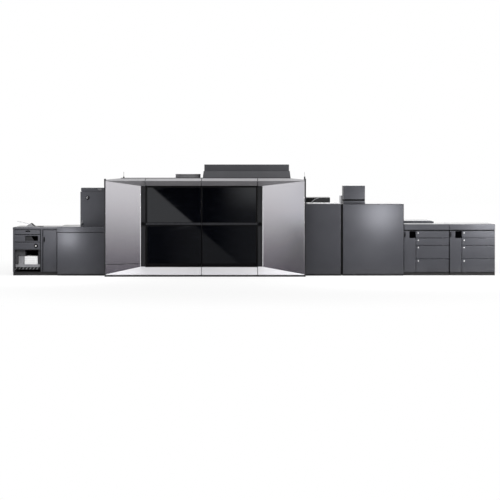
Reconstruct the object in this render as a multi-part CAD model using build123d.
from build123d import *
import os

# Sheet-fed digital printing press: seven docked modules in one line.
# Millimetres. X runs to the right along the line, Y to the back, Z up.
# The origin is on the floor under the middle of the line.
# Depths are measured back from the front lip of the engine frame.

# Shared sheet metal, seams and running gaps
COVER_THICKNESS = 25.0
REAR_COVER_THICKNESS = 15.0
REAR_COVER_INSET = 6.0
EDGE_ROUND = 5.0
COVER_SEAM = 10.0
COVER_SIDE_GAP = 6.0
DOOR_GAP = 6.0
BEHIND_LEAF_GAP = 12.0
CUT_OVERRUN = 20.0

# Pivot pins of every hinged leaf
PIVOT_INSET = 10.0
PIVOT_RADIUS = 5.0
PIVOT_REACH = 15.0
PIVOT_CLEARANCE = 0.3
PIVOT_END_CLEARANCE = 2.0

# Finger grip of a narrow door
GRIP_WIDTH = 28.0
GRIP_HEIGHT = 112.0
GRIP_DEPTH = 12.0
GRIP_EDGE = 6.0
GRIP_DROP = 190.0

# Setbacks of the module fronts behind the frame lip, and module depths
MODULE_SETBACK = 300.0
END_SETBACK = 380.0
ENGINE_DEPTH = 1600.0
DRYER_DEPTH = 1240.0
MIDDLE_DEPTH = 1200.0
STACKER_DEPTH = 920.0
FEEDER_DEPTH = 920.0

# Plinths
ENGINE_PLINTH = 36.0
MODULE_PLINTH = 26.0
STACKER_PLINTH = 70.0
FEEDER_PLINTH = 64.0
PLINTH_SIDE_INSET = 8.0
PLINTH_FRONT_INSET = 14.0
END_PLINTH_FRONT_INSET = 3.0

# Engine frame: a funnel of wide silver covers round the glass doors
SIDE_PANEL = 30.0
SIDE_PANEL_RISE = 45.0
SIDE_PANEL_CREST = 40.0
SIDE_PANEL_FALL = 120.0
LEFT_BEVEL = 690.0
RIGHT_BEVEL = 840.0
LOWER_BEVEL = 153.0
UPPER_BEVEL = 102.0
FRAME_LIP = 14.0
UPPER_LIP = 4.0
FUNNEL_DEPTH = 200.0
REVEAL_DEPTH = 200.0
FRAME_SEAM = 12.0
KICK_SEAM_RISE = 53.0
ROOF_RISE = 54.0
ROOF_EDGE = 28.0
ROOF_SEAM_DEPTH = 10.0
ROOF_SIDE_RUN = 280.0
ROOF_FRONT_RUN = 250.0
ROOF_BACK_RUN = 60.0

# Engine doors
POST_WIDTH = 91.0
POST_SETBACK = 14.0
ENGINE_DOOR_WIDTH = 1125.0
ENGINE_DOOR_HEIGHT = 1599.0
ENGINE_DOOR_LIFT = 8.0
ENGINE_DOOR_TOP_GAP = 18.0
ENGINE_LEAF_THICKNESS = 34.0
GLASS_THICKNESS = 6.0
GLASS_MARGIN = 12.0
GLASS_HINGE_MARGIN = 34.0
KICK_STRIP_HEIGHT = 50.0
BAR_HEIGHT = 40.0
BAR_LIFT = 836.0
BAR_PROUD = 5.0
BAR_GAP_BELOW = 22.0
BAR_GAP_ABOVE = 6.0

# Inner covers behind the engine doors: print unit covers over a sheet rail and transport covers
INNER_COVER_THICKNESS = 12.0
INNER_COVER_MARGIN = 24.0
INNER_COVER_SEAM = 14.0
INNER_COVER_CHAMFER = 10.0
UNIT_COVER_COUNT = 5
UNIT_COVER_PROUD = 70.0
TRANSPORT_COVER_COUNT = 4
TRANSPORT_COVER_PROUD = 44.0
SHEET_RAIL_LIFT = 700.0
SHEET_RAIL_HEIGHT = 46.0
SHEET_RAIL_PROUD = 92.0
UNIT_GRIP_WIDTH = 150.0
UNIT_GRIP_HEIGHT = 34.0
UNIT_GRIP_DEPTH = 22.0
UNIT_GRIP_LIFT = 70.0

# Engine roof: two-tier air unit, exhaust spigot and signal lamps
AIR_UNIT_LEFT = 1952.0
AIR_UNIT_WIDTH = 1798.0
AIR_UNIT_DEPTH = 800.0
AIR_UNIT_BASE_HEIGHT = 148.0
AIR_UNIT_BASE_TAPER = 17.0
AIR_UNIT_BASE_EDGE = 12.0
AIR_UNIT_HOOD_HEIGHT = 134.0
AIR_UNIT_HOOD_INSET = 14.0
AIR_UNIT_SETBACK = 650.0
SPIGOT_RADIUS = 256.0
SPIGOT_HEIGHT = 86.0
SPIGOT_WALL = 6.0
SPIGOT_AIR_UNIT_GAP = 55.0
SPIGOT_SETBACK = 906.0
LAMP_BASE_RADIUS = 13.0
LAMP_BASE_HEIGHT = 34.0
LAMP_ROD_RADIUS = 6.0
LAMP_ROD_HEIGHT = 100.0
LEFT_LAMP_INSET = 365.0
LAMP_SETBACK = 330.0

# Stacker at the left end
STACKER_WALL = 36.0
BAY_WIDTH = 517.0
BAY_HEIGHT = 446.0
STACKER_POST = 58.0
POST_FACE_DEPTH = 28.0
POST_BAY_REVEAL = 14.0
POST_DOOR_REVEAL = 10.0
DOOR_BAY_WIDTH = 280.0
STACKER_RIGHT_WALL = 14.0
STACKER_CORNER_ROUND = 20.0
SHELF_THICKNESS = 14.0
STACKER_PANEL_THICKNESS = 24.0
PANEL_SEAM = 12.0
BUTTON_PANEL_HEIGHT = 138.0
EXIT_PANEL_HEIGHT = 140.0
CONTROL_STRIP_HEIGHT = 85.0
STACKER_LID_GAP = 14.0
STACKER_LID_HEIGHT = 47.0
STACKER_DOOR_EDGE = 10.0
LID_ROUND = 12.0
INNER_BLOCK_SETBACK = 30.0
UPPER_BLOCK_SETBACK = 220.0
SIDE_BLOCK_SETBACK = 66.0
SIDE_BLOCK_WIDTH = 205.0
SIDE_BLOCK_LIFT = 4.0
BAY_JAMB_WIDTH = 44.0
EXIT_WIDTH = 264.0
EXIT_HEIGHT = 102.0
EXIT_OFFSET = 213.0
EXIT_CORNER = 8.0
CHUTE_SETBACK = 46.0
CHUTE_THICKNESS = 8.0
CHUTE_REACH_TOP = 320.0
CHUTE_REACH_BOTTOM = 400.0
SLOT_WIDTH = 96.0
SLOT_HEIGHT = 26.0
SLOT_OFFSET = 221.0
SLOT_DROP = 10.0
SLOT_DEPTH = 8.0
BUTTON_RADIUS = 22.0
BUTTON_FLANGE_RADIUS = 42.0
BUTTON_FLANGE = 6.0
BUTTON_HEIGHT = 14.0
BUTTON_OFFSET = 434.0

# Stack table, sheets and guide in the stacker bay
TABLE_SIDE_GAP = 8.0
TABLE_SETBACK = 60.0
TABLE_BOTTOM = 95.0
TABLE_THICKNESS = 55.0
COMB_HEIGHT = 47.0
COMB_THICKNESS = 30.0
COMB_SETBACK = 8.0
COMB_SLOTS = 7
COMB_SLOT_WIDTH = 40.0
COMB_SLOT_HEIGHT = 32.0
STACK_WIDTH = 270.0
STACK_LENGTH = 400.0
STACK_HEIGHT = 168.0
STACK_OFFSET = 190.0
STACK_SETBACK = 18.0
GUIDE_THICKNESS = 118.0
GUIDE_LENGTH = 260.0
GUIDE_GAP = 8.0
GUIDE_ROUND = 10.0

# Top exit of the stacker
HOOD_LEFT = 214.0
HOOD_WIDTH = 262.0
HOOD_HEIGHT = 65.0
HOOD_LEDGE_HEIGHT = 50.0
HOOD_LEDGE = 66.0
HOOD_PEAK = 96.0
HOOD_RIDGE = 14.0
HOOD_FOOT = 180.0
HOOD_TAIL = 6.0
HOOD_SETBACK = 270.0
HOOD_LENGTH = 160.0
TRAY_PLATE = 6.0
TRAY_RUN = 236.0
TRAY_RISE = 56.0
TRAY_SIDE_INSET = 10.0

# Dryer and its tower
DRYER_WIDTH = 985.0
DRYER_FRONT_HEIGHT = 835.0
DRYER_LID_HEIGHT = 107.0
TOWER_WIDTH = 547.0
TOWER_DEPTH = 700.0
TOWER_SETBACK = 300.0
TOWER_HEIGHT = 710.0
TOWER_NECK = 10.0
TOWER_NECK_INSET = 10.0
TOWER_LID_HEIGHT = 68.0
TOWER_LID_INSET = 14.0
KNOB_OFFSET = 147.0
KNOB_DROP = 126.0
KNOB_FLANGE_RADIUS = 36.0
KNOB_FLANGE = 5.0
KNOB_RADIUS = 27.0
KNOB_HEIGHT = 28.0

# Registration module with its operator console
REGISTER_WIDTH = 740.0
MIDDLE_FRONT_HEIGHT = 1404.0
MIDDLE_TOP_REVEAL = 10.0
REGISTER_COVER_LEFT_GAP = 8.0
REGISTER_COVER_RIGHT_GAP = 28.0
CONSOLE_OFFSET = 28.0
CONSOLE_WIDTH = 520.0
CONSOLE_LENGTH = 270.0
CONSOLE_FRONT_HEIGHT = 112.0
CONSOLE_BACK_HEIGHT = 126.0
CONSOLE_BACK_GAP = 15.0
CONSOLE_ROUND = 8.0
SCREEN_THICKNESS = 6.0
SCREEN_MARGIN = 8.0
SCREEN_FOOT_OFFSET = 134.0
SCREEN_HEAD_OFFSET = 282.0
SCREEN_SWEEP_RADIUS = 190.0
DIAL_RADIUS = 38.0
DIAL_SIDES = 24
DIAL_HEIGHT = 26.0
DIAL_OFFSET = 398.0
DIAL_GAP = 12.0

# Conditioning module with the box on its roof
CONDITIONER_WIDTH = 1250.0
CONDITIONER_COVER_LEFT_GAP = 18.0
CONDITIONER_COVER_RIGHT_GAP = 6.0
ROOF_BOX_OFFSET = 40.0
ROOF_BOX_WIDTH = 440.0
ROOF_BOX_DEPTH = 420.0
ROOF_BOX_SETBACK = 200.0
ROOF_BOX_FOOT = 60.0
ROOF_BOX_NECK = 30.0
ROOF_BOX_NECK_INSET = 30.0
ROOF_BOX_HEIGHT = 278.0
DUCT_LEFT = 18.0
DUCT_WIDTH = 330.0
DUCT_HEIGHT = 168.0
DUCT_BACK_GAP = 20.0

# Paper feeders at the right end
FEEDER_COUNT = 2
FEEDER_WIDTH = 930.0
PILLAR_WIDTH = 255.0
FEEDER_WALL = 12.0
FEEDER_SIDE_REVEAL = 10.0
SMALL_DRAWER = 140.0
LARGE_DRAWER = 264.0
DRAWER_GAP = 8.0
FEEDER_LID_GAP = 22.0
FEEDER_LID_HEIGHT = 116.0
FEEDER_LID_INSET = 3.0
LEAF_THICKNESS = 24.0
DISPLAY_WIDTH = 126.0
DISPLAY_HEIGHT = 140.0
DISPLAY_RECESS = 3.0
DISPLAY_EDGE = 5.0
DRAWER_BUTTON_RADIUS = 11.0
DRAWER_BUTTON_PROUD = 4.0
DRAWER_BUTTON_OFFSET = 46.0
DRAWER_BUTTON_DROP = 40.0

# Drawer trays and their runners
TRAY_WALL = 4.0
TRAY_DEPTH = 680.0
TRAY_FLOOR_LIFT = 12.0
TRAY_TOP_DROP = 30.0
TRAY_SIDE_GAP = 6.0
RUNNER_WIDTH = 14.0
RUNNER_HEIGHT = 22.0
RUNNER_CLEARANCE = 0.3
RUNNER_END_GAP = 16.0
FLANGE_GAP = 5.0

# Low bridge cover at the back of the first feeder
BRIDGE_WIDTH = 690.0
BRIDGE_DEPTH = 280.0
BRIDGE_FRONT_HEIGHT = 48.0
BRIDGE_BACK_HEIGHT = 70.0
BRIDGE_BACK_GAP = 20.0
BRIDGE_END_SLOPE = 120.0
BRIDGE_END_HEIGHT = 32.0

# Blind air slots in the rear covers
LOUVRE_COUNT = 6
LOUVRE_WIDTH = 380.0
LOUVRE_HEIGHT = 14.0
LOUVRE_PITCH = 34.0
LOUVRE_DROP = 110.0
LOUVRE_DEPTH = 9.0

# Sizes that follow from the ones above
DOOR_PAIR = 2 * ENGINE_DOOR_WIDTH + 3 * DOOR_GAP
OPENING_WIDTH = DOOR_PAIR + 2 * POST_WIDTH
OPENING_HEIGHT = ENGINE_DOOR_LIFT + ENGINE_DOOR_HEIGHT + ENGINE_DOOR_TOP_GAP
ENGINE_WIDTH = 2 * SIDE_PANEL + LEFT_BEVEL + OPENING_WIDTH + RIGHT_BEVEL
STACKER_WIDTH = STACKER_WALL + BAY_WIDTH + STACKER_POST + DOOR_BAY_WIDTH + STACKER_RIGHT_WALL
LINE_LENGTH = (
    STACKER_WIDTH + DRYER_WIDTH + ENGINE_WIDTH
    + REGISTER_WIDTH + CONDITIONER_WIDTH + FEEDER_COUNT * FEEDER_WIDTH
)
FRONT_Y = -ENGINE_DEPTH / 2
FRAME_DEPTH = FUNNEL_DEPTH + REVEAL_DEPTH

STACKER_LEFT = -LINE_LENGTH / 2
DRYER_LEFT = STACKER_LEFT + STACKER_WIDTH
ENGINE_LEFT = DRYER_LEFT + DRYER_WIDTH
REGISTER_LEFT = ENGINE_LEFT + ENGINE_WIDTH
CONDITIONER_LEFT = REGISTER_LEFT + REGISTER_WIDTH
FEEDERS_LEFT = CONDITIONER_LEFT + CONDITIONER_WIDTH

FRAME_LEFT = ENGINE_LEFT + SIDE_PANEL
FRAME_RIGHT = REGISTER_LEFT - SIDE_PANEL
FRAME_BOTTOM = ENGINE_PLINTH
OPENING_LEFT = FRAME_LEFT + LEFT_BEVEL
OPENING_RIGHT = FRAME_RIGHT - RIGHT_BEVEL
OPENING_BOTTOM = FRAME_BOTTOM + LOWER_BEVEL
OPENING_TOP = OPENING_BOTTOM + OPENING_HEIGHT
FRAME_TOP = OPENING_TOP + UPPER_BEVEL
ENGINE_TOP = FRAME_TOP + ROOF_RISE
SIDE_PANEL_TOP = FRAME_TOP + ROOF_EDGE
DOORS_LEFT = OPENING_LEFT + POST_WIDTH + DOOR_GAP
DOORS_RIGHT = OPENING_RIGHT - POST_WIDTH - DOOR_GAP
DOORS_MIDDLE = (DOORS_LEFT + DOORS_RIGHT) / 2
ENGINE_LEAF_FRONT = FUNNEL_DEPTH + GLASS_THICKNESS

BAY_LEFT = STACKER_LEFT + STACKER_WALL
BAY_RIGHT = BAY_LEFT + BAY_WIDTH
DOOR_BAY_LEFT = BAY_RIGHT + STACKER_POST
DOOR_BAY_RIGHT = DOOR_BAY_LEFT + DOOR_BAY_WIDTH
SHELF_BOTTOM = STACKER_PLINTH + BAY_HEIGHT
SHELF_TOP = SHELF_BOTTOM + SHELF_THICKNESS
BUTTON_PANEL_BOTTOM = SHELF_TOP
EXIT_PANEL_BOTTOM = BUTTON_PANEL_BOTTOM + BUTTON_PANEL_HEIGHT + PANEL_SEAM
CONTROL_STRIP_BOTTOM = EXIT_PANEL_BOTTOM + EXIT_PANEL_HEIGHT + PANEL_SEAM
STACKER_LID_BOTTOM = CONTROL_STRIP_BOTTOM + CONTROL_STRIP_HEIGHT + STACKER_LID_GAP
STACKER_TOP = STACKER_LID_BOTTOM + STACKER_LID_HEIGHT
STACKER_BACK = END_SETBACK + STACKER_DEPTH - REAR_COVER_THICKNESS
TABLE_TOP = STACKER_PLINTH + TABLE_BOTTOM + TABLE_THICKNESS
STACK_TOP = TABLE_TOP + STACK_HEIGHT
BEHIND_LEAF = END_SETBACK + LEAF_THICKNESS + BEHIND_LEAF_GAP

DRYER_BACK = MODULE_SETBACK + DRYER_DEPTH - REAR_COVER_THICKNESS
DRYER_LID_BOTTOM = MODULE_PLINTH + DRYER_FRONT_HEIGHT + 2 * COVER_SEAM
DRYER_TOP = DRYER_LID_BOTTOM + DRYER_LID_HEIGHT
MIDDLE_BACK = MODULE_SETBACK + MIDDLE_DEPTH - REAR_COVER_THICKNESS
MIDDLE_TOP = MODULE_PLINTH + COVER_SEAM + MIDDLE_FRONT_HEIGHT + MIDDLE_TOP_REVEAL

DRAWER_HEIGHTS = (LARGE_DRAWER, LARGE_DRAWER, SMALL_DRAWER, SMALL_DRAWER)
FEEDER_BACK = END_SETBACK + FEEDER_DEPTH - REAR_COVER_THICKNESS
DRAWERS_BOTTOM = FEEDER_PLINTH + DOOR_GAP
DRAWERS_TOP = DRAWERS_BOTTOM + sum(DRAWER_HEIGHTS) + (len(DRAWER_HEIGHTS) - 1) * DRAWER_GAP
FEEDER_LID_BOTTOM = DRAWERS_TOP + FEEDER_LID_GAP
FEEDER_TOP = FEEDER_LID_BOTTOM + FEEDER_LID_HEIGHT


# General shapes
def block(left, right, front, back, bottom, top):
    """Box between two corners, with front and back as depths behind the frame lip."""
    centre = ((left + right) / 2, FRONT_Y + (front + back) / 2, (bottom + top) / 2)
    return Pos(*centre) * Box(right - left, back - front, top - bottom)


def front_plane(depth):
    """Plane parallel to the front of the line, with X to the right and Z up."""
    return Plane.XZ.offset(-(FRONT_Y + depth))


def front_prism(outline, front, back):
    """Prism with its outline of X and Z in the front view, between two depths."""
    face = front_plane(back) * make_face(Polyline(*outline, close=True))
    return extrude(face, amount=back - front)


def side_prism(outline, left, right):
    """Prism with its outline of depth and Z in the side view, between two X places."""
    points = [(FRONT_Y + depth, height) for depth, height in outline]
    face = Plane.YZ.offset(left) * make_face(Polyline(*points, close=True))
    return extrude(face, amount=right - left)


def top_prism(outline, bottom, top):
    """Prism with its outline of X and depth in the plan, between two heights."""
    points = [(x, FRONT_Y + depth) for x, depth in outline]
    face = Plane.XY.offset(bottom) * make_face(Polyline(*points, close=True))
    return extrude(face, amount=top - bottom)


def hipped_block(left, right, front, back, bottom, top, side_run, front_run, back_run, side_edge):
    """Block whose four sides lean in by their runs, the two ends above an upright edge."""
    across = [
        (left, bottom), (right, bottom), (right, bottom + side_edge),
        (right - side_run, top), (left + side_run, top), (left, bottom + side_edge),
    ]
    along = [(front, bottom), (back, bottom), (back - back_run, top), (front + front_run, top)]
    return front_prism(across, front, back) & side_prism(along, left, right)


def front_disc(x, z, radius, front, back):
    """Disc with its axis along the depth."""
    return extrude(front_plane(back) * Pos(x, z) * Circle(radius), amount=back - front)


def cover(left, right, front, back, bottom, top, rounding=EDGE_ROUND):
    """Sheet cover with a rounded front rim."""
    plate = block(left, right, front, back, bottom, top)
    return fillet(plate.faces().sort_by(Axis.Y)[0].edges(), rounding)


def chamfered_cover(left, right, front, back, bottom, top):
    """Inner cover with a bevelled front rim."""
    plate = block(left, right, front, back, bottom, top)
    return chamfer(plate.faces().sort_by(Axis.Y)[0].edges(), INNER_COVER_CHAMFER)


def lid(left, right, front, back, bottom, top):
    """Top cover with rounded upper edges."""
    plate = block(left, right, front, back, bottom, top)
    return fillet(plate.faces().sort_by(Axis.Z)[-1].edges(), LID_ROUND)


# Hinged leaves turn on two short pins near the front of their hinge edge
def pivot_x(left, right, hinge_on_right):
    """Place of the pivot axis along the line."""
    return right - PIVOT_INSET if hinge_on_right else left + PIVOT_INSET


def hinged_leaf(left, right, front, thickness, bottom, top, hinge_on_right):
    """Door leaf, rounded about its pivot and bored for the two pins."""
    leaf = block(left, right, front, front + thickness, bottom, top)
    hinge_edge = right if hinge_on_right else left
    uprights = leaf.edges().filter_by(Axis.Z).filter_by_position(Axis.X, hinge_edge, hinge_edge)
    leaf = fillet(uprights.sort_by(Axis.Y)[0], PIVOT_INSET)
    bore_depth = PIVOT_REACH + PIVOT_END_CLEARANCE
    axis = (pivot_x(left, right, hinge_on_right), FRONT_Y + front + PIVOT_INSET)
    for end in (bottom + bore_depth / 2, top - bore_depth / 2):
        leaf -= Pos(*axis, end) * Cylinder(PIVOT_RADIUS + PIVOT_CLEARANCE, bore_depth)
    return leaf


def pivot_pins(x, front, bottom, top, sill, head):
    """Two pins, from the sill and from the head into the ends of a leaf."""
    pins = []
    for start, end in ((sill, bottom + PIVOT_REACH), (top - PIVOT_REACH, head)):
        place = Pos(x, FRONT_Y + front + PIVOT_INSET, (start + end) / 2)
        pins.append(place * Cylinder(PIVOT_RADIUS, end - start))
    return pins


def grip_recess(x, top, front):
    """Oval finger grip near the free edge of a narrow door."""
    oval = Pos(x, top - GRIP_DROP) * SlotOverall(GRIP_HEIGHT, GRIP_WIDTH, rotation=90)
    return extrude(front_plane(front + GRIP_DEPTH) * oval, amount=GRIP_DEPTH + CUT_OVERRUN)


nodes = {}
pivots = []


# Stacker: walls, blocks behind the closed fronts, shelf and lid
def stacker_cabinet():
    outer_wall = block(
        STACKER_LEFT, BAY_LEFT, END_SETBACK, STACKER_BACK, STACKER_PLINTH, STACKER_LID_BOTTOM
    )
    corner = outer_wall.edges().filter_by(Axis.Z).filter_by_position(Axis.X, STACKER_LEFT, STACKER_LEFT)
    outer_wall = fillet(corner.sort_by(Axis.Y)[0], STACKER_CORNER_ROUND)
    post_face = END_SETBACK + POST_FACE_DEPTH
    post = block(BAY_RIGHT, DOOR_BAY_LEFT, post_face, STACKER_BACK, STACKER_PLINTH, STACKER_LID_BOTTOM)
    post += cover(
        BAY_RIGHT + POST_BAY_REVEAL, DOOR_BAY_LEFT - POST_DOOR_REVEAL, END_SETBACK, post_face,
        STACKER_PLINTH, STACKER_LID_BOTTOM,
    )
    right_wall = block(
        DOOR_BAY_RIGHT, DRYER_LEFT, BEHIND_LEAF, STACKER_BACK, STACKER_PLINTH, STACKER_LID_BOTTOM
    )
    nodes["stacker_walls"] = [outer_wall, post, right_wall]
    door_block = block(
        DOOR_BAY_LEFT, DOOR_BAY_RIGHT, BEHIND_LEAF + INNER_BLOCK_SETBACK, STACKER_BACK,
        STACKER_PLINTH, STACKER_LID_BOTTOM,
    )
    upper_block = block(
        BAY_LEFT, BAY_RIGHT, END_SETBACK + UPPER_BLOCK_SETBACK, STACKER_BACK,
        SHELF_TOP, STACKER_LID_BOTTOM,
    )
    side_front = END_SETBACK + SIDE_BLOCK_SETBACK
    side_bottom = STACK_TOP + SIDE_BLOCK_LIFT
    side_block = block(
        BAY_LEFT, BAY_LEFT + SIDE_BLOCK_WIDTH, side_front, STACKER_BACK, side_bottom, SHELF_BOTTOM
    )
    guide_left = BAY_LEFT + STACK_OFFSET - GUIDE_GAP - GUIDE_THICKNESS
    side_block += block(
        BAY_LEFT, guide_left - GUIDE_GAP, side_front, STACKER_BACK, TABLE_TOP + SIDE_BLOCK_LIFT, side_bottom
    )
    bay_jamb = block(
        BAY_RIGHT - BAY_JAMB_WIDTH, BAY_RIGHT, side_front, STACKER_BACK,
        TABLE_TOP + SIDE_BLOCK_LIFT, SHELF_BOTTOM,
    )
    nodes["stacker_inner_blocks"] = [door_block, upper_block, side_block, bay_jamb]
    nodes["stacker_shelf"] = [
        block(BAY_LEFT, BAY_RIGHT, END_SETBACK, STACKER_BACK, SHELF_BOTTOM, SHELF_TOP)
    ]
    nodes["stacker_lid"] = [
        lid(STACKER_LEFT, DRYER_LEFT, END_SETBACK, STACKER_BACK, STACKER_LID_BOTTOM, STACKER_TOP)
    ]


# Stacker: the three panels over the bay, the sheet exit and the round button
def stacker_fronts():
    panel_back = END_SETBACK + STACKER_PANEL_THICKNESS
    button_panel = cover(
        BAY_LEFT, BAY_RIGHT, END_SETBACK, panel_back,
        BUTTON_PANEL_BOTTOM, BUTTON_PANEL_BOTTOM + BUTTON_PANEL_HEIGHT,
    )
    control_strip = cover(
        BAY_LEFT, BAY_RIGHT, END_SETBACK, panel_back,
        CONTROL_STRIP_BOTTOM, CONTROL_STRIP_BOTTOM + CONTROL_STRIP_HEIGHT,
    )
    slot_top = CONTROL_STRIP_BOTTOM + CONTROL_STRIP_HEIGHT - SLOT_DROP
    control_strip -= block(
        BAY_LEFT + SLOT_OFFSET, BAY_LEFT + SLOT_OFFSET + SLOT_WIDTH,
        END_SETBACK - CUT_OVERRUN, END_SETBACK + SLOT_DEPTH, slot_top - SLOT_HEIGHT, slot_top,
    )
    nodes["stacker_front_panels"] = [button_panel, control_strip]

    exit_panel = cover(
        BAY_LEFT, BAY_RIGHT, END_SETBACK, panel_back,
        EXIT_PANEL_BOTTOM, EXIT_PANEL_BOTTOM + EXIT_PANEL_HEIGHT,
    )
    exit_middle = EXIT_PANEL_BOTTOM + EXIT_PANEL_HEIGHT / 2
    mouth = Pos(BAY_LEFT + EXIT_OFFSET + EXIT_WIDTH / 2, exit_middle) * RectangleRounded(
        EXIT_WIDTH, EXIT_HEIGHT, EXIT_CORNER
    )
    exit_panel -= extrude(
        front_plane(panel_back + CUT_OVERRUN) * mouth,
        amount=STACKER_PANEL_THICKNESS + 2 * CUT_OVERRUN,
    )
    nodes["sheet_exit_panel"] = [exit_panel]

    chute_front = END_SETBACK + CHUTE_SETBACK
    chute_bottom = EXIT_PANEL_BOTTOM
    chute_top = EXIT_PANEL_BOTTOM + EXIT_PANEL_HEIGHT
    nodes["exit_chute"] = [
        front_prism(
            [
                (BAY_LEFT, chute_bottom), (BAY_LEFT + CHUTE_REACH_BOTTOM, chute_bottom),
                (BAY_LEFT + CHUTE_REACH_TOP, chute_top), (BAY_LEFT, chute_top),
            ],
            chute_front, chute_front + CHUTE_THICKNESS,
        )
    ]

    button_x = BAY_LEFT + BUTTON_OFFSET
    button_z = BUTTON_PANEL_BOTTOM + BUTTON_PANEL_HEIGHT / 2
    flange_front = END_SETBACK - BUTTON_FLANGE
    flange = front_disc(button_x, button_z, BUTTON_FLANGE_RADIUS, flange_front, END_SETBACK)
    cap = front_disc(button_x, button_z, BUTTON_RADIUS, END_SETBACK - BUTTON_HEIGHT, flange_front)
    nodes["eject_button"] = [flange + cap]


# Stacker: narrow door with its grip on the left and its pivot on the right
def stacker_door():
    left = DOOR_BAY_LEFT + DOOR_GAP
    right = DRYER_LEFT - STACKER_DOOR_EDGE
    bottom = STACKER_PLINTH + DOOR_GAP
    top = STACKER_LID_BOTTOM - STACKER_LID_GAP
    leaf = hinged_leaf(left, right, END_SETBACK, LEAF_THICKNESS, bottom, top, True)
    leaf -= grip_recess(left + GRIP_EDGE + GRIP_WIDTH / 2, top, END_SETBACK)
    nodes["stacker_door_leaf"] = [leaf]
    pivots.extend(
        pivot_pins(
            pivot_x(left, right, True), END_SETBACK, bottom, top, STACKER_PLINTH, STACKER_LID_BOTTOM
        )
    )


# Stacker: lift table with its comb, the sheets on it and the side guide
def stacker_bay():
    table_left = BAY_LEFT + TABLE_SIDE_GAP
    table_right = BAY_RIGHT - TABLE_SIDE_GAP
    table_front = END_SETBACK + TABLE_SETBACK
    plate_bottom = TABLE_TOP - TABLE_THICKNESS
    table = block(table_left, table_right, table_front, STACKER_BACK, plate_bottom, TABLE_TOP)
    comb_front = table_front + COMB_SETBACK
    comb = block(
        table_left, table_right, comb_front, comb_front + COMB_THICKNESS,
        plate_bottom - COMB_HEIGHT, plate_bottom,
    )
    pitch = (table_right - table_left) / COMB_SLOTS
    for index in range(COMB_SLOTS):
        middle = table_left + (index + 1 / 2) * pitch
        comb -= block(
            middle - COMB_SLOT_WIDTH / 2, middle + COMB_SLOT_WIDTH / 2,
            comb_front - CUT_OVERRUN, comb_front + COMB_THICKNESS + CUT_OVERRUN,
            plate_bottom - COMB_SLOT_HEIGHT, plate_bottom,
        )
    nodes["stack_table"] = [table + comb]

    stack_left = BAY_LEFT + STACK_OFFSET
    stack_front = table_front + STACK_SETBACK
    nodes["sheet_stack"] = [
        block(
            stack_left, stack_left + STACK_WIDTH, stack_front, stack_front + STACK_LENGTH,
            TABLE_TOP, STACK_TOP,
        )
    ]
    guide = block(
        stack_left - GUIDE_GAP - GUIDE_THICKNESS, stack_left - GUIDE_GAP,
        stack_front, stack_front + GUIDE_LENGTH, TABLE_TOP, STACK_TOP,
    )
    nodes["stack_guide"] = [fillet(guide.edges().filter_by(Axis.Z), GUIDE_ROUND)]


# Stacker: hood and bent plate of the top exit
def stacker_top_exit():
    left = STACKER_LEFT + HOOD_LEFT
    right = left + HOOD_WIDTH
    ledge = STACKER_TOP + HOOD_LEDGE_HEIGHT
    peak = STACKER_TOP + HOOD_HEIGHT
    front = END_SETBACK + HOOD_SETBACK
    back = front + HOOD_LENGTH
    nodes["top_exit_hood"] = [
        front_prism(
            [
                (left, STACKER_TOP), (right, STACKER_TOP), (right, STACKER_TOP + HOOD_TAIL),
                (left + HOOD_FOOT, STACKER_TOP + HOOD_TAIL),
                (left + HOOD_PEAK + HOOD_RIDGE, peak), (left + HOOD_PEAK, peak),
                (left + HOOD_PEAK, ledge), (left + HOOD_LEDGE, ledge),
            ],
            front, back,
        )
    ]
    tab_left = left + HOOD_LEDGE
    end = tab_left - TRAY_RUN
    nodes["top_exit_tray"] = [
        front_prism(
            [
                (left + HOOD_PEAK, ledge), (left + HOOD_PEAK, ledge + TRAY_PLATE),
                (tab_left, ledge + TRAY_PLATE), (end, ledge + TRAY_RISE + TRAY_PLATE),
                (end, ledge + TRAY_RISE), (tab_left, ledge),
            ],
            front + TRAY_SIDE_INSET, back - TRAY_SIDE_INSET,
        )
    ]


# Dryer and the tower that stands on it beside the engine
def dryer():
    nodes["dryer_body"] = [
        block(
            DRYER_LEFT, ENGINE_LEFT, MODULE_SETBACK + COVER_THICKNESS, DRYER_BACK,
            MODULE_PLINTH, DRYER_LID_BOTTOM,
        )
    ]
    nodes["dryer_lid"] = [
        lid(DRYER_LEFT, ENGINE_LEFT, MODULE_SETBACK, DRYER_BACK, DRYER_LID_BOTTOM, DRYER_TOP)
    ]
    left = ENGINE_LEFT - TOWER_WIDTH
    front = MODULE_SETBACK + TOWER_SETBACK
    back = front + TOWER_DEPTH
    body_top = DRYER_TOP + TOWER_HEIGHT
    body = cover(left, ENGINE_LEFT, front, back, DRYER_TOP, body_top)
    knob_x = left + KNOB_OFFSET
    knob_z = body_top - KNOB_DROP
    body += front_disc(knob_x, knob_z, KNOB_FLANGE_RADIUS, front - KNOB_FLANGE, front)
    body += front_disc(knob_x, knob_z, KNOB_RADIUS, front - KNOB_HEIGHT, front)
    nodes["tower_body"] = [body]
    neck_top = body_top + TOWER_NECK
    neck = block(
        left + TOWER_LID_INSET + TOWER_NECK_INSET, ENGINE_LEFT - TOWER_NECK_INSET,
        front + TOWER_NECK_INSET, back - TOWER_NECK_INSET, body_top, neck_top,
    )
    cap = lid(left + TOWER_LID_INSET, ENGINE_LEFT, front, back, neck_top, neck_top + TOWER_LID_HEIGHT)
    nodes["tower_lid"] = [neck + cap]


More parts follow.
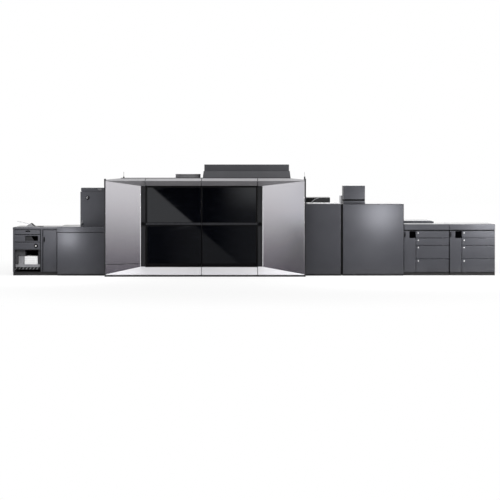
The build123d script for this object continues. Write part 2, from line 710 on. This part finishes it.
# Engine housing
def engine_housing():
    back = ENGINE_DEPTH - REAR_COVER_THICKNESS
    nodes["engine_body"] = [
        block(FRAME_LEFT, FRAME_RIGHT, FRAME_DEPTH, back, FRAME_BOTTOM, FRAME_TOP)
    ]
    crest = FRAME_TOP + SIDE_PANEL_RISE
    outline = [
        (0, FRAME_BOTTOM), (back, FRAME_BOTTOM), (back, SIDE_PANEL_TOP),
        (SIDE_PANEL_CREST + SIDE_PANEL_FALL, SIDE_PANEL_TOP), (SIDE_PANEL_CREST, crest), (0, crest),
    ]
    panels = []
    for left, right in ((ENGINE_LEFT, FRAME_LEFT), (FRAME_RIGHT, REGISTER_LEFT)):
        panel = side_prism(outline, left, right)
        panels.append(fillet(panel.faces().sort_by(Axis.Y)[0].edges(), EDGE_ROUND))
    nodes["engine_side_panels"] = panels
    roof = hipped_block(
        FRAME_LEFT, FRAME_RIGHT, 0, back, FRAME_TOP, ENGINE_TOP,
        ROOF_SIDE_RUN, ROOF_FRONT_RUN, ROOF_BACK_RUN, ROOF_EDGE,
    )
    lowered = Pos(0, 0, -ROOF_SEAM_DEPTH) * roof
    for x in (DOORS_LEFT, DOORS_MIDDLE, DOORS_RIGHT):
        seam = block(
            x - FRAME_SEAM / 2, x + FRAME_SEAM / 2, -CUT_OVERRUN, AIR_UNIT_SETBACK - FRAME_SEAM,
            FRAME_TOP - CUT_OVERRUN, ENGINE_TOP + CUT_OVERRUN,
        )
        roof -= seam - lowered
    nodes["engine_roof"] = [roof]


# Engine frame: a funnel of four bevelled silver covers that meet at mitres
def engine_frame():
    left_edges = (FRAME_LEFT, FRAME_LEFT + FRAME_LIP, OPENING_LEFT)
    right_edges = (FRAME_RIGHT, FRAME_RIGHT - FRAME_LIP, OPENING_RIGHT)
    lower_edges = (FRAME_BOTTOM, FRAME_BOTTOM + FRAME_LIP, OPENING_BOTTOM)
    upper_edges = (FRAME_TOP, FRAME_TOP - UPPER_LIP, OPENING_TOP)

    def section(edges):
        """Bevelled section across one cover, from its outer, lip and inner edge."""
        outer, lip, inner = edges
        return [(outer, 0), (lip, 0), (inner, FUNNEL_DEPTH), (inner, FRAME_DEPTH), (outer, FRAME_DEPTH)]

    def upright(edges):
        """Side cover before it is mitred."""
        return top_prism(section(edges), FRAME_BOTTOM, FRAME_TOP)

    def crosspiece(edges):
        """Upper or lower cover before it is mitred."""
        outline = [(depth, height) for height, depth in section(edges)]
        return side_prism(outline, FRAME_LEFT, FRAME_RIGHT)

    def mitred(length, first, second):
        """Length of cover cut to the mitres at two corners, each given by its two sets of edges."""
        outline = list(zip(*first)) + list(zip(*second))[::-1]
        return length & front_prism(outline, 0, FRAME_DEPTH)

    def seam(x):
        """Open upright seam through a bevel."""
        return block(
            x - FRAME_SEAM / 2, x + FRAME_SEAM / 2, -CUT_OVERRUN, FRAME_DEPTH + CUT_OVERRUN,
            FRAME_BOTTOM - CUT_OVERRUN, FRAME_TOP + CUT_OVERRUN,
        )

    lower_left = (left_edges, lower_edges)
    lower_right = (right_edges, lower_edges)
    upper_left = (left_edges, upper_edges)
    upper_right = (right_edges, upper_edges)
    left_cover = mitred(upright(left_edges), lower_left, upper_left)
    right_cover = mitred(upright(right_edges), lower_right, upper_right)
    upper_cover = mitred(crosspiece(upper_edges), upper_left, upper_right)
    lower_cover = mitred(crosspiece(lower_edges), lower_left, lower_right)

    kick_seam = OPENING_BOTTOM + KICK_SEAM_RISE
    left_cover -= block(
        FRAME_LEFT - CUT_OVERRUN, OPENING_LEFT + CUT_OVERRUN, -CUT_OVERRUN, FUNNEL_DEPTH + CUT_OVERRUN,
        kick_seam, kick_seam + FRAME_SEAM,
    )
    for x in (DOORS_LEFT, DOORS_MIDDLE, DOORS_RIGHT):
        upper_cover -= seam(x)
    for x in (DOORS_MIDDLE, DOORS_RIGHT):
        lower_cover -= seam(x)
    nodes["frame_side_covers"] = [left_cover, right_cover]
    nodes["frame_upper_covers"] = [upper_cover]
    nodes["frame_lower_covers"] = [lower_cover]


# Engine doors: two leaves of black glass between dark hinge posts
def engine_doors():
    bottom = OPENING_BOTTOM + ENGINE_DOOR_LIFT
    top = bottom + ENGINE_DOOR_HEIGHT
    bar_bottom = bottom + BAR_LIFT
    bar_top = bar_bottom + BAR_HEIGHT
    kick_top = bottom + KICK_STRIP_HEIGHT
    lefts = {"left": DOORS_LEFT, "right": DOORS_RIGHT - ENGINE_DOOR_WIDTH}
    for side, left in lefts.items():
        right = left + ENGINE_DOOR_WIDTH
        on_right = side == "right"
        leaf = hinged_leaf(
            left, right, ENGINE_LEAF_FRONT, ENGINE_LEAF_THICKNESS, bottom, top, on_right
        )
        pane_left = left + (GLASS_MARGIN if on_right else GLASS_HINGE_MARGIN)
        pane_right = right - (GLASS_HINGE_MARGIN if on_right else GLASS_MARGIN)
        leaf += block(
            pane_left, pane_right, FUNNEL_DEPTH - BAR_PROUD, ENGINE_LEAF_FRONT, bar_bottom, bar_top
        )
        leaf += block(
            pane_left, pane_right, FUNNEL_DEPTH, ENGINE_LEAF_FRONT, bottom + GLASS_MARGIN, kick_top
        )
        nodes[side + "_door_panel"] = [leaf]
        nodes[side + "_door_glass"] = [
            block(
                pane_left, pane_right, FUNNEL_DEPTH, ENGINE_LEAF_FRONT,
                kick_top + BAR_GAP_ABOVE, bar_bottom - BAR_GAP_BELOW,
            ),
            block(
                pane_left, pane_right, FUNNEL_DEPTH, ENGINE_LEAF_FRONT,
                bar_top + BAR_GAP_ABOVE, top - GLASS_MARGIN,
            ),
        ]
        pivots.extend(
            pivot_pins(
                pivot_x(left, right, on_right), ENGINE_LEAF_FRONT, bottom, top,
                OPENING_BOTTOM, OPENING_TOP,
            )
        )

    posts = []
    for left in (OPENING_LEFT, OPENING_RIGHT - POST_WIDTH):
        for low, high in (
            (OPENING_BOTTOM, bar_bottom - BAR_GAP_BELOW), (bar_top + BAR_GAP_ABOVE, OPENING_TOP)
        ):
            posts.append(
                cover(left, left + POST_WIDTH, FUNNEL_DEPTH + POST_SETBACK, FRAME_DEPTH, low, high)
            )
    nodes["hinge_posts"] = posts


# Engine interior: a back plate with print unit covers, a sheet rail and transport covers
def engine_interior():
    left = OPENING_LEFT + POST_WIDTH
    right = OPENING_RIGHT - POST_WIDTH
    plate_front = FRAME_DEPTH - INNER_COVER_THICKNESS
    rail_bottom = OPENING_BOTTOM + SHEET_RAIL_LIFT
    rail_top = rail_bottom + SHEET_RAIL_HEIGHT
    interior = block(left, right, plate_front, FRAME_DEPTH, OPENING_BOTTOM, OPENING_TOP)
    interior += chamfered_cover(
        left + INNER_COVER_MARGIN, right - INNER_COVER_MARGIN,
        plate_front - SHEET_RAIL_PROUD, plate_front, rail_bottom, rail_top,
    )
    rows = (
        (TRANSPORT_COVER_COUNT, TRANSPORT_COVER_PROUD, OPENING_BOTTOM + INNER_COVER_MARGIN,
         rail_bottom - INNER_COVER_SEAM),
        (UNIT_COVER_COUNT, UNIT_COVER_PROUD, rail_top + INNER_COVER_SEAM,
         OPENING_TOP - INNER_COVER_MARGIN),
    )
    for count, proud, bottom, top in rows:
        pitch = (right - left - 2 * INNER_COVER_MARGIN + INNER_COVER_SEAM) / count
        for index in range(count):
            near = left + INNER_COVER_MARGIN + index * pitch
            far = near + pitch - INNER_COVER_SEAM
            front = plate_front - proud
            unit = chamfered_cover(near, far, front, plate_front, bottom, top)
            middle = (near + far) / 2
            unit -= block(
                middle - UNIT_GRIP_WIDTH / 2, middle + UNIT_GRIP_WIDTH / 2,
                front - CUT_OVERRUN, front + UNIT_GRIP_DEPTH,
                bottom + UNIT_GRIP_LIFT, bottom + UNIT_GRIP_LIFT + UNIT_GRIP_HEIGHT,
            )
            interior += unit
    nodes["engine_inner_cover"] = [interior]


# Engine roof fittings
def engine_roof_fittings():
    left = ENGINE_LEFT + AIR_UNIT_LEFT
    step = ENGINE_TOP + AIR_UNIT_BASE_HEIGHT
    nodes["air_unit_base"] = [
        hipped_block(
            left, left + AIR_UNIT_WIDTH, AIR_UNIT_SETBACK, AIR_UNIT_SETBACK + AIR_UNIT_DEPTH,
            ENGINE_TOP, step, AIR_UNIT_BASE_TAPER, AIR_UNIT_BASE_TAPER, AIR_UNIT_BASE_TAPER,
            AIR_UNIT_BASE_EDGE,
        )
    ]
    inset = AIR_UNIT_BASE_TAPER + AIR_UNIT_HOOD_INSET
    nodes["air_unit_hood"] = [
        cover(
            left + inset, left + AIR_UNIT_WIDTH - inset, AIR_UNIT_SETBACK + inset,
            AIR_UNIT_SETBACK + AIR_UNIT_DEPTH - inset, step, step + AIR_UNIT_HOOD_HEIGHT,
        )
    ]

    spigot_x = left - SPIGOT_AIR_UNIT_GAP - SPIGOT_RADIUS
    ring = Circle(SPIGOT_RADIUS) - Circle(SPIGOT_RADIUS - SPIGOT_WALL)
    base = Plane.XY.offset(ENGINE_TOP) * Pos(spigot_x, FRONT_Y + SPIGOT_SETBACK)
    nodes["exhaust_spigot"] = [extrude(base * ring, amount=SPIGOT_HEIGHT)]

    lamps = []
    base_top = ENGINE_TOP + LAMP_BASE_HEIGHT
    for x, z in (
        (ENGINE_LEFT + LEFT_LAMP_INSET, ENGINE_TOP), (REGISTER_LEFT - SIDE_PANEL / 2, SIDE_PANEL_TOP)
    ):
        foot = Plane.XY.offset(z) * Pos(x, FRONT_Y + LAMP_SETBACK)
        lamp = extrude(foot * Circle(LAMP_BASE_RADIUS), amount=base_top - z)
        lamp += extrude(foot * Circle(LAMP_ROD_RADIUS), amount=base_top - z + LAMP_ROD_HEIGHT)
        lamps.append(lamp)
    nodes["signal_lamps"] = lamps


# Registration module with a low operator console at the back of its roof
def registration_module():
    nodes["register_body"] = [
        block(
            REGISTER_LEFT, CONDITIONER_LEFT, MODULE_SETBACK + COVER_THICKNESS, MIDDLE_BACK,
            MODULE_PLINTH, MIDDLE_TOP,
        )
    ]
    left = REGISTER_LEFT + CONSOLE_OFFSET
    right = left + CONSOLE_WIDTH
    back = MIDDLE_BACK - CONSOLE_BACK_GAP
    front = back - CONSOLE_LENGTH
    low = MIDDLE_TOP + CONSOLE_FRONT_HEIGHT
    high = MIDDLE_TOP + CONSOLE_BACK_HEIGHT
    console = side_prism([(front, MIDDLE_TOP), (back, MIDDLE_TOP), (back, high), (front, low)], left, right)
    ends = console.edges().filter_by(Axis.X).sort_by(Axis.Z)[-2:]
    nodes["operator_console"] = [fillet(ends, CONSOLE_ROUND)]

    foot = (left + SCREEN_FOOT_OFFSET, MIDDLE_TOP + SCREEN_MARGIN)
    head = (left + SCREEN_HEAD_OFFSET, low - SCREEN_MARGIN)
    sweep = RadiusArc(foot, head, SCREEN_SWEEP_RADIUS)
    rim = Polyline(head, (right - SCREEN_MARGIN, head[1]), (right - SCREEN_MARGIN, foot[1]), foot)
    pane = front_plane(front) * make_face([*sweep.edges(), *rim.edges()])
    nodes["console_screen"] = [extrude(pane, amount=SCREEN_THICKNESS)]

    dial_y = FRONT_Y + front - SCREEN_THICKNESS - DIAL_GAP - DIAL_RADIUS
    dial = extrude(
        Plane.XY.offset(MIDDLE_TOP) * Pos(left + DIAL_OFFSET, dial_y) * RegularPolygon(DIAL_RADIUS, DIAL_SIDES),
        amount=DIAL_HEIGHT,
    )
    nodes["jog_dial"] = [chamfer(dial.faces().sort_by(Axis.Z)[-1].edges(), CONSOLE_ROUND)]


# Conditioning module with a box on a recessed neck and its duct on its roof
def conditioning_module():
    nodes["conditioner_body"] = [
        block(
            CONDITIONER_LEFT, FEEDERS_LEFT, MODULE_SETBACK + COVER_THICKNESS, MIDDLE_BACK,
            MODULE_PLINTH, MIDDLE_TOP,
        )
    ]
    left = CONDITIONER_LEFT + ROOF_BOX_OFFSET
    right = left + ROOF_BOX_WIDTH
    front = MODULE_SETBACK + ROOF_BOX_SETBACK
    back = front + ROOF_BOX_DEPTH
    foot_top = MIDDLE_TOP + ROOF_BOX_FOOT
    neck_top = foot_top + ROOF_BOX_NECK
    foot = block(left, right, front, back, MIDDLE_TOP, foot_top)
    neck = block(
        left + ROOF_BOX_NECK_INSET, right - ROOF_BOX_NECK_INSET,
        front + ROOF_BOX_NECK_INSET, back - ROOF_BOX_NECK_INSET, foot_top, neck_top,
    )
    box = cover(left, right, front, back, neck_top, neck_top + ROOF_BOX_HEIGHT)
    nodes["roof_box"] = [foot + neck + box]
    duct_left = CONDITIONER_LEFT + DUCT_LEFT
    nodes["roof_duct"] = [
        lid(
            duct_left, duct_left + DUCT_WIDTH, back, MIDDLE_BACK - DUCT_BACK_GAP,
            MIDDLE_TOP, MIDDLE_TOP + DUCT_HEIGHT,
        )
    ]


# Feeders: two cabinets of walls, pillars and lids round their drawers
def feeder_cabinets():
    walls = []
    pillars = []
    lids = []
    for index in range(FEEDER_COUNT):
        left = FEEDERS_LEFT + index * FEEDER_WIDTH
        right = left + FEEDER_WIDTH
        pillars.append(
            block(left, left + PILLAR_WIDTH, BEHIND_LEAF, FEEDER_BACK, FEEDER_PLINTH, FEEDER_LID_BOTTOM)
        )
        walls.append(
            block(right - FEEDER_WALL, right, BEHIND_LEAF, FEEDER_BACK, FEEDER_PLINTH, FEEDER_LID_BOTTOM)
        )
        lids.append(
            lid(
                left + FEEDER_LID_INSET, right - FEEDER_LID_INSET, END_SETBACK, FEEDER_BACK,
                FEEDER_LID_BOTTOM, FEEDER_TOP,
            )
        )
    nodes["feeder_pillars"] = pillars
    nodes["feeder_walls"] = walls
    nodes["feeder_lids"] = lids

    bridge_back = FEEDER_BACK - BRIDGE_BACK_GAP
    bridge_front = bridge_back - BRIDGE_DEPTH
    bridge_right = FEEDERS_LEFT + FEEDER_LID_INSET + BRIDGE_WIDTH
    bridge_top = FEEDER_TOP + BRIDGE_BACK_HEIGHT
    bridge = side_prism(
        [
            (bridge_front, FEEDER_TOP), (bridge_back, FEEDER_TOP),
            (bridge_back, bridge_top), (bridge_front, FEEDER_TOP + BRIDGE_FRONT_HEIGHT),
        ],
        FEEDERS_LEFT + FEEDER_LID_INSET, bridge_right,
    )
    bridge -= front_prism(
        [
            (bridge_right, FEEDER_TOP + BRIDGE_END_HEIGHT), (bridge_right, bridge_top),
            (bridge_right - BRIDGE_END_SLOPE, bridge_top),
        ],
        bridge_front - CUT_OVERRUN, bridge_back + CUT_OVERRUN,
    )
    nodes["bridge_cover"] = [bridge]


# Feeders: the narrow access door on each pillar, with its dark display
def feeder_doors():
    for index in range(FEEDER_COUNT):
        cabinet_left = FEEDERS_LEFT + index * FEEDER_WIDTH
        left = cabinet_left + FEEDER_SIDE_REVEAL
        right = cabinet_left + PILLAR_WIDTH - DOOR_GAP / 2
        leaf = hinged_leaf(
            left, right, END_SETBACK, LEAF_THICKNESS, DRAWERS_BOTTOM, DRAWERS_TOP, True
        )
        leaf -= grip_recess(left + GRIP_EDGE + GRIP_WIDTH / 2, DRAWERS_TOP + GRIP_HEIGHT, END_SETBACK)
        display_right = right - DISPLAY_EDGE
        display_top = DRAWERS_TOP - DISPLAY_EDGE
        leaf -= block(
            display_right - DISPLAY_WIDTH, display_right,
            END_SETBACK - CUT_OVERRUN, END_SETBACK + DISPLAY_RECESS,
            display_top - DISPLAY_HEIGHT, display_top,
        )
        nodes["feeder_" + str(index + 1) + "_door"] = [leaf]
        pivots.extend(
            pivot_pins(
                pivot_x(left, right, True), END_SETBACK, DRAWERS_BOTTOM, DRAWERS_TOP,
                FEEDER_PLINTH, FEEDER_LID_BOTTOM,
            )
        )


# Feeders: one drawer is a front with a round button and an open tray with side flanges
def drawer(bay_left, bay_right, bottom, height):
    front = cover(
        bay_left + DOOR_GAP / 2, bay_right + FEEDER_WALL - FEEDER_SIDE_REVEAL,
        END_SETBACK, END_SETBACK + LEAF_THICKNESS, bottom, bottom + height,
    )
    button_x = bay_left + DRAWER_BUTTON_OFFSET
    button_z = bottom + height - DRAWER_BUTTON_DROP
    front += front_disc(
        button_x, button_z, DRAWER_BUTTON_RADIUS, END_SETBACK - DRAWER_BUTTON_PROUD, END_SETBACK
    )
    tray_left = bay_left + RUNNER_WIDTH + TRAY_SIDE_GAP
    tray_right = bay_right - RUNNER_WIDTH - TRAY_SIDE_GAP
    tray_front = END_SETBACK + LEAF_THICKNESS
    tray_back = tray_front + TRAY_DEPTH
    floor = bottom + TRAY_FLOOR_LIFT
    rim = bottom + height - TRAY_TOP_DROP
    tray = block(tray_left, tray_right, tray_front, tray_back, floor, rim)
    tray -= block(
        tray_left + TRAY_WALL, tray_right - TRAY_WALL, tray_front + TRAY_WALL, tray_back - TRAY_WALL,
        floor + TRAY_WALL, rim + CUT_OVERRUN,
    )
    for near, far in ((bay_left + FLANGE_GAP, tray_left), (tray_right, bay_right - FLANGE_GAP)):
        tray += block(near, far, BEHIND_LEAF + RUNNER_END_GAP, tray_back, rim - TRAY_WALL, rim)
    return front + tray


def drawer_runners(bay_left, bay_right, bottom, height):
    """Two rails on the cabinet walls, just under the flanges of one tray."""
    top = bottom + height - TRAY_TOP_DROP - TRAY_WALL - RUNNER_CLEARANCE
    return [
        block(
            near, near + RUNNER_WIDTH, BEHIND_LEAF, FEEDER_BACK - RUNNER_END_GAP, top - RUNNER_HEIGHT, top
        )
        for near in (bay_left, bay_right - RUNNER_WIDTH)
    ]


def feeder_drawers():
    runners = []
    for index in range(FEEDER_COUNT):
        cabinet_left = FEEDERS_LEFT + index * FEEDER_WIDTH
        bay_left = cabinet_left + PILLAR_WIDTH
        bay_right = cabinet_left + FEEDER_WIDTH - FEEDER_WALL
        bottom = DRAWERS_BOTTOM
        for count, height in enumerate(DRAWER_HEIGHTS):
            number = len(DRAWER_HEIGHTS) - count
            name = "feeder_" + str(index + 1) + "_drawer_" + str(number)
            nodes[name] = [drawer(bay_left, bay_right, bottom, height)]
            runners.extend(drawer_runners(bay_left, bay_right, bottom, height))
            bottom += height + DRAWER_GAP
    nodes["drawer_runners"] = runners


# Plain service covers on the front of the closed modules, and all rear covers
def service_covers():
    cover_bottom = MODULE_PLINTH + COVER_SEAM
    front = MODULE_SETBACK
    back = MODULE_SETBACK + COVER_THICKNESS
    nodes["front_covers"] = [
        cover(
            DRYER_LEFT + COVER_SIDE_GAP, ENGINE_LEFT - COVER_SIDE_GAP, front, back,
            cover_bottom, cover_bottom + DRYER_FRONT_HEIGHT,
        ),
        cover(
            REGISTER_LEFT + REGISTER_COVER_LEFT_GAP, CONDITIONER_LEFT - REGISTER_COVER_RIGHT_GAP,
            front, back, cover_bottom, cover_bottom + MIDDLE_FRONT_HEIGHT,
        ),
        cover(
            CONDITIONER_LEFT + CONDITIONER_COVER_LEFT_GAP, FEEDERS_LEFT - CONDITIONER_COVER_RIGHT_GAP,
            front, back, cover_bottom, cover_bottom + MIDDLE_FRONT_HEIGHT,
        ),
    ]
    rears = [
        (STACKER_LEFT, DRYER_LEFT, STACKER_BACK, STACKER_PLINTH, STACKER_TOP),
        (DRYER_LEFT, ENGINE_LEFT, DRYER_BACK, MODULE_PLINTH, DRYER_TOP),
        (REGISTER_LEFT, CONDITIONER_LEFT, MIDDLE_BACK, MODULE_PLINTH, MIDDLE_TOP),
        (CONDITIONER_LEFT, FEEDERS_LEFT, MIDDLE_BACK, MODULE_PLINTH, MIDDLE_TOP),
    ]
    for index in range(FEEDER_COUNT):
        left = FEEDERS_LEFT + index * FEEDER_WIDTH
        rears.append((left, left + FEEDER_WIDTH, FEEDER_BACK, FEEDER_PLINTH, FEEDER_TOP))
    engine_back = ENGINE_DEPTH - REAR_COVER_THICKNESS
    for left, right in (
        (ENGINE_LEFT, DOORS_LEFT), (DOORS_LEFT, DOORS_MIDDLE),
        (DOORS_MIDDLE, DOORS_RIGHT), (DOORS_RIGHT, REGISTER_LEFT),
    ):
        rears.append((left, right, engine_back, ENGINE_PLINTH, FRAME_TOP))
    nodes["rear_covers"] = [rear_cover(*rear) for rear in rears]


def rear_cover(left, right, back, bottom, top):
    """Rear cover with a row of blind air slots under its upper edge."""
    plate = block(
        left + REAR_COVER_INSET, right - REAR_COVER_INSET, back, back + REAR_COVER_THICKNESS,
        bottom + REAR_COVER_INSET, top - REAR_COVER_INSET,
    )
    middle = (left + right) / 2
    for index in range(LOUVRE_COUNT):
        slot_top = top - LOUVRE_DROP - index * LOUVRE_PITCH
        plate -= block(
            middle - LOUVRE_WIDTH / 2, middle + LOUVRE_WIDTH / 2,
            back + REAR_COVER_THICKNESS - LOUVRE_DEPTH, back + REAR_COVER_THICKNESS + CUT_OVERRUN,
            slot_top - LOUVRE_HEIGHT, slot_top,
        )
    return plate


# Dark plinths under every module
def plinths():
    spans = [
        (STACKER_LEFT, DRYER_LEFT, END_SETBACK + END_PLINTH_FRONT_INSET, STACKER_BACK, STACKER_PLINTH),
        (DRYER_LEFT, ENGINE_LEFT, MODULE_SETBACK + PLINTH_FRONT_INSET, DRYER_BACK, MODULE_PLINTH),
        (ENGINE_LEFT, REGISTER_LEFT, PLINTH_FRONT_INSET, ENGINE_DEPTH - REAR_COVER_THICKNESS, ENGINE_PLINTH),
        (REGISTER_LEFT, CONDITIONER_LEFT, MODULE_SETBACK + PLINTH_FRONT_INSET, MIDDLE_BACK, MODULE_PLINTH),
        (CONDITIONER_LEFT, FEEDERS_LEFT, MODULE_SETBACK + PLINTH_FRONT_INSET, MIDDLE_BACK, MODULE_PLINTH),
    ]
    for index in range(FEEDER_COUNT):
        left = FEEDERS_LEFT + index * FEEDER_WIDTH
        spans.append(
            (left, left + FEEDER_WIDTH, END_SETBACK + END_PLINTH_FRONT_INSET, FEEDER_BACK, FEEDER_PLINTH)
        )
    nodes["plinths"] = [
        block(left + PLINTH_SIDE_INSET, right - PLINTH_SIDE_INSET, front, back, 0, height)
        for left, right, front, back, height in spans
    ]


stacker_cabinet()
stacker_fronts()
stacker_door()
stacker_bay()
stacker_top_exit()
dryer()
engine_housing()
engine_frame()
engine_doors()
engine_interior()
engine_roof_fittings()
registration_module()
conditioning_module()
feeder_cabinets()
feeder_doors()
feeder_drawers()
service_covers()
plinths()
nodes["door_pivots"] = pivots

os.makedirs("parts", exist_ok=True)
for name, shapes in nodes.items():
    solids = [solid for shape in shapes for solid in shape.solids()]
    export_step(Compound(solids), "parts/" + name + ".step")
print(len(nodes), "nodes, line length", LINE_LENGTH)
